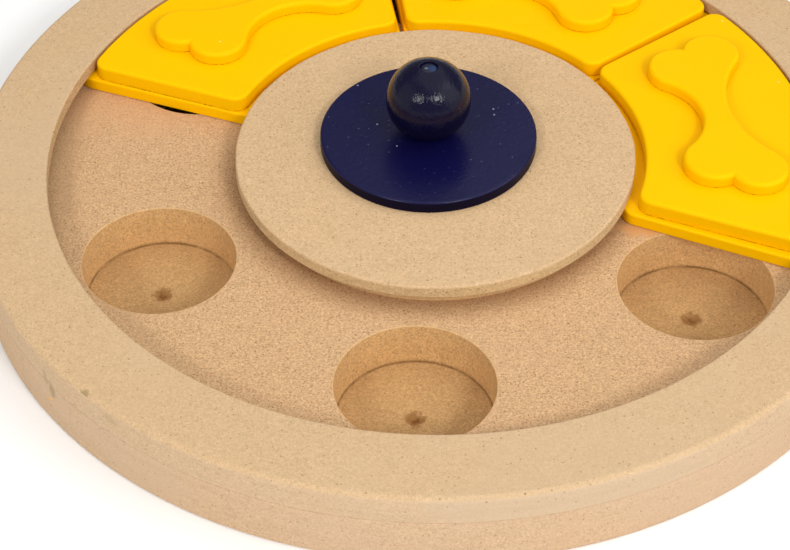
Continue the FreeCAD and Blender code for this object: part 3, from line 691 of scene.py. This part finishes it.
def disc_wobble(x, y, z):
    """Hand-sanded edge: the arris wanders by a tenth or two."""
    r = math.hypot(x, y)
    if r < 58.0:
        return (x, y, z)
    a = math.atan2(y, x)
    w = 0.09 * math.sin(3 * a + 0.7) + 0.07 * math.sin(7 * a + 2.1) + 0.05 * math.sin(17 * a + 0.3) + 0.03 * math.sin(41 * a)
    k = (r + w * (1.0 if z > 22.0 else 0.4) - 0.12) / r
    return (x * k, y * k, z)


disc_profile = rounded([(POCKET_R, HUB_TOP, 0.2), (DISC_R, HUB_TOP, 0.35), (DISC_R, DISC_TOP, 0.75), (POCKET_R, DISC_TOP, 0.3)], 5)
disc = lathe("board_centre_disc", disc_profile, 360, [mdf_disc, mdf_disc_edge, mdf_bore],
             lambda r, z, dr, dz: 1 if r > 59.5 and z < 24.0 else (2 if r < 23.0 or z < 21.0 else 0), wobble=disc_wobble)
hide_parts("centre_disc")
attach(disc, "board")


# ------------------------------------------------------------------- sliders
def sector_outline(ri, ro, width, corner, d, n_out=72, n_in=44, n_cor=10, n_side=10):
    th = math.radians(width / 2)
    e = Vector((math.cos(th), math.sin(th)))
    nn = Vector((-math.sin(th), math.cos(th)))
    a = math.sqrt((ro - corner) ** 2 - corner ** 2)
    bq = math.sqrt((ri + corner) ** 2 - corner ** 2)
    co = e * a - nn * corner
    ci = e * bq - nn * corner
    po, pi_ = math.atan2(co.y, co.x), math.atan2(ci.y, ci.x)
    rc = corner - d
    pts = []

    def arc(cx, cy, r, a0, a1, n, skip_last=True):
        for k in range(n if skip_last else n + 1):
            t = a0 + (a1 - a0) * k / n
            pts.append((cx + r * math.cos(t), cy + r * math.sin(t)))

    def side(p, q, n):
        for k in range(n):
            pts.append((p[0] + (q[0] - p[0]) * k / n, p[1] + (q[1] - p[1]) * k / n))

    arc(0, 0, ro - d, -po, po, n_out)
    arc(co.x, co.y, rc, po, th + math.pi / 2, n_cor)
    side(e * a - nn * d, e * bq - nn * d, n_side)
    arc(ci.x, ci.y, rc, th + math.pi / 2, pi_ + math.pi, n_cor)
    arc(0, 0, ri + d, pi_, -pi_, n_in)
    arc(ci.x, -ci.y, rc, -pi_ + math.pi, -th + 1.5 * math.pi, n_cor)
    e2, n2 = Vector((e.x, -e.y)), Vector((nn.x, -nn.y))
    side(e2 * bq - n2 * d, e2 * a - n2 * d, n_side)
    arc(co.x, -co.y, rc, -th - math.pi / 2, -po, n_cor)
    return pts


def bone_outline(d, n_lobe=44, n_hollow=36):
    lx, ly, lr, ix, iy, ir = (BONE[k] for k in ("lx", "ly", "lr", "ix", "iy", "ir"))
    k = lr - BONE["top"]
    uy = (lx * lx + ly * ly - k * k) / (2.0 * (ly + k))
    ur = uy - BONE["top"]
    k2 = ir + BONE["low"]
    dy = (ix * ix + iy * iy - k2 * k2) / (2.0 * (k2 - iy))
    dr = math.hypot(ix, iy + dy) - ir
    ur = math.hypot(lx, uy - ly) - lr
    lo, io = lr - d, ir - d
    ex, ey = ix - lx, iy - ly
    q = math.hypot(ex, ey)
    a = (lo * lo - io * io + q * q) / (2 * q)
    w = math.sqrt(max(0.0, lo * lo - a * a))
    nx, ny = lx + a * ex / q - w * ey / q, ly + a * ey / q + w * ex / q
    pts = []

    def arc(cx, cy, r, a0, a1, n, ccw=True):
        if ccw:
            while a1 < a0:
                a1 += TAU
        else:
            while a1 > a0:
                a1 -= TAU
        for i in range(n):
            t = a0 + (a1 - a0) * i / n
            pts.append((cx + r * math.cos(t), cy + r * math.sin(t)))

    at = lambda cx, cy, x, y: math.atan2(y - cy, x - cx)
    arc(lx, ly, lo, at(lx, ly, nx, ny), at(lx, ly, 0, uy), n_lobe)
    arc(0, uy, ur + d, at(0, uy, lx, ly), at(0, uy, -lx, ly), n_hollow, False)
    arc(-lx, ly, lo, at(-lx, ly, 0, uy), at(-lx, ly, -nx, ny), n_lobe)
    arc(-ix, iy, io, at(-ix, iy, -nx, ny), at(-ix, iy, 0, -dy), n_lobe)
    arc(0, -dy, dr + d, at(0, -dy, -ix, iy), at(0, -dy, ix, iy), n_hollow, False)
    arc(ix, iy, io, at(ix, iy, 0, -dy), at(ix, iy, nx, ny), n_lobe)
    return pts


def stack(name, outline, profile, mats, turn, move=(0.0, 0.0), foot_gap=None, seed=1):
    """Closed prism: outline(d) at each (d, z) of the profile, then turned."""
    b = Build()
    ca, sa = math.cos(math.radians(turn)), math.sin(math.radians(turn))
    rnd = random.Random(seed)
    prev = None
    gaps = None
    for level, (d, z) in enumerate(profile):
        pts = outline(d)
        if foot_gap and level == 0:
            # the glue line opens and closes along the foot
            full, none = outline(foot_gap), outline(0.0)
            n = len(pts)
            gaps = []
            phase = [rnd.uniform(0, TAU) for _ in range(8)]
            for i in range(n):
                t = TAU * i / n
                g = sum(math.sin(t * f + p) for f, p in zip((23, 37, 51, 67, 83, 97, 113, 29), phase)) / 3.0
                gaps.append(max(0.0, min(1.0, 0.55 + g)))
            pts = [(q[0] * g + p[0] * (1 - g), q[1] * g + p[1] * (1 - g)) for p, q, g in zip(none, full, gaps)]
        ring = b.ring([(ca * x - sa * y + move[0], sa * x + ca * y + move[1], z) for x, y in pts])
        if prev is not None:
            b.bridge(prev, ring, 0)
        else:
            b.cap(ring, 0, flip=True)
        prev = ring
    b.cap(prev, 0)
    return make_object(name, b.v, b.f, mats=mats, face_mats=b.m, sharp_deg=50.0)


def edge_profile(z0, z1, top_round, foot, foot_rise=0.22, steps=7):
    prof = [(foot, z0), (0.0, z0 + foot_rise)] if foot else [(0.0, z0)]
    prof.append((0.0, (z0 + z1) / 2))
    for k in range(steps + 1):
        a = math.pi / 2 * k / steps
        prof.append((top_round * (1 - math.cos(a)), z1 - top_round + top_round * math.sin(a)))
    return prof


for side, s in SLIDERS.items():
    body = "slider_" + side
    plate = stack("slider_%s_flange" % side,
                  lambda d: sector_outline(PLATE["ri"], PLATE["ro"], PLATE["width"], PLATE["corner"], d),
                  [(0.35, PLATE["z0"]), (0.1, PLATE["z0"] + 0.1), (0.0, PLATE["z0"] + 0.35)]
                  + edge_profile(PLATE["z0"], PLATE["z1"], 0.7, 0.0)[1:], [yellow], s["plate"])
    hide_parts("slider_%s_plate" % side)
    block = stack("slider_%s_tile" % side,
                  lambda d: sector_outline(BLOCK["ri"], BLOCK["ro"], BLOCK["width"], BLOCK["corner"], d),
                  edge_profile(BLOCK["z0"], BLOCK["z1"], 1.05, 0.3), [yellow], s["block"], foot_gap=0.45, seed=3)
    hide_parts("slider_%s_block" % side)
    ba = math.radians(s["bone_a"])
    bone = stack("slider_%s_grip" % side, bone_outline,
                 edge_profile(BONE["z0"], BONE["z1"], 1.3, 0.25), [yellow], s["bone_turn"] - 90.0,
                 (s["bone_r"] * math.cos(ba), s["bone_r"] * math.sin(ba)), foot_gap=0.4, seed=7)
    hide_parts("slider_%s_bone" % side)
    for piece in (plate, block, bone):
        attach(piece, body)

# --------------------------------------------------------------- lid and knob
lid = lathe("lid_round", rounded([(DOWEL_R, LID_Z0, 0), (LID_R, LID_Z0, 0.5), (LID_R, LID_Z1, 0.75), (DOWEL_R, LID_Z1, 0)], 7),
            300, [navy_lid, navy_side_shaded], lambda r, z, dr, dz: 1 if r > 30.0 and z < 27.75 else 0, cx=LID_X, cy=LID_Y)
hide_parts("lid_disc")
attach(lid, "lid")


def build_ball():
    cz = LID_Z1 + BALL_R - BALL_FLAT
    low = -math.asin((BALL_R - BALL_FLAT) / BALL_R)
    high = math.acos((DOWEL_R + 0.55) / BALL_R)
    prof = [(DOWEL_R, LID_Z1)]
    steps = 72
    for k in range(steps + 1):
        a = low + (high - low) * k / steps
        prof.append((BALL_R * math.cos(a), cz + BALL_R * math.sin(a)))
    top = cz + BALL_R * math.sin(high)
    prof += [(DOWEL_R + 0.3, top - 0.06), (DOWEL_R + 0.08, top - 0.22), (DOWEL_R, top - 0.5)]
    return lathe("knob_sphere", prof, 128, [navy_ball], cx=LID_X, cy=LID_Y)


ball = build_ball()
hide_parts("knob_ball")
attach(ball, "lid")

pin_top = LID_Z1 + 2 * BALL_R - BALL_FLAT - 0.8
pin = lathe("knob_pin", [(0.0, LID_Z0 + 0.3), (DOWEL_R, LID_Z0 + 0.3), (DOWEL_R, pin_top - 0.45),
                         (DOWEL_R - 0.15, pin_top - 0.2), (DOWEL_R - 0.5, pin_top - 0.05), (1.2, pin_top), (0.0, pin_top - 0.1)],
            48, [navy_pin], cx=LID_X, cy=LID_Y)
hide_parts("knob_dowel")
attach(pin, "lid")

# screws keep their modelled shape
for m in ("centre_screws",):
    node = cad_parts[m]
    node.data.materials.clear()
    node.data.materials.append(zinc_mat)

# ------------------------------------------------------------ floor and light
def make_floor():
    mesh = bpy.data.meshes.new("studio_floor")
    s = 3.0
    mesh.from_pydata([(-s, -s, 0), (s, -s, 0), (s, s, 0), (-s, s, 0)], [], [(0, 1, 2, 3)])
    obj = bpy.data.objects.new("studio_floor", mesh)
    n = Nodes("studio_white")
    n.bsdf.inputs["Base Color"].default_value = (0.93, 0.93, 0.93, 1)
    n.bsdf.inputs["Roughness"].default_value = 0.9
    n.bsdf.inputs["Specular IOR Level"].default_value = 0.0
    mesh.materials.append(n.mat)
    scene.collection.objects.link(obj)
    obj.location.z = -0.0002


make_floor()


def area(name, place, target, size, power, colour=(1, 1, 1), size_y=None):
    data = bpy.data.lights.new(name, "AREA")
    data.energy = power
    data.color = colour
    data.shape = "RECTANGLE" if size_y else "SQUARE"
    data.size = size
    if size_y:
        data.size_y = size_y
    obj = bpy.data.objects.new(name, data)
    obj.location = place
    obj.rotation_euler = (Vector(target) - Vector(place)).to_track_quat("-Z", "Y").to_euler()
    scene.collection.objects.link(obj)


world = bpy.data.worlds.new("studio")
world.use_nodes = True
bg = world.node_tree.nodes["Background"]
bg.inputs[0].default_value = (1.0, 1.0, 1.0, 1)
wt = world.node_tree
wc = wt.nodes.new("ShaderNodeTexCoord")
ws = wt.nodes.new("ShaderNodeSeparateXYZ")
wm = wt.nodes.new("ShaderNodeMapRange")
wm.interpolation_type = "SMOOTHSTEP"
wt.links.new(wc.outputs["Generated"], ws.inputs[0])
wt.links.new(ws.outputs[1], wm.inputs["Value"])
wm.inputs["From Min"].default_value = -0.5
wm.inputs["From Max"].default_value = 0.6
wm.inputs["To Min"].default_value = 0.42
wm.inputs["To Max"].default_value = 0.26
wt.links.new(wm.outputs[0], bg.inputs[1])
scene.world = world
scene.view_settings.view_transform = "Standard"
scene.view_settings.look = "None"
scene.view_settings.exposure = 0.0

area("overhead", (0.30, 0.24, 1.45), (0, 0, 0), 2.2, 12.8, (1.0, 0.99, 0.97))
area("key_left", (-0.66, -0.95, 0.86), (0, 0, 0.02), 0.26, 5.6, (1.0, 0.985, 0.96))
area("key_right", (0.50, -0.95, 0.86), (0, 0, 0.02), 0.26, 6.6, (1.0, 0.985, 0.96))
area("side_right", (1.25, -0.35, 0.75), (0, 0, 0.02), 1.3, 7.0, (1.0, 0.99, 0.98))
area("side_left", (-1.25, -0.30, 0.60), (0, 0, 0.02), 1.3, 2.6, (1.0, 0.99, 0.98))
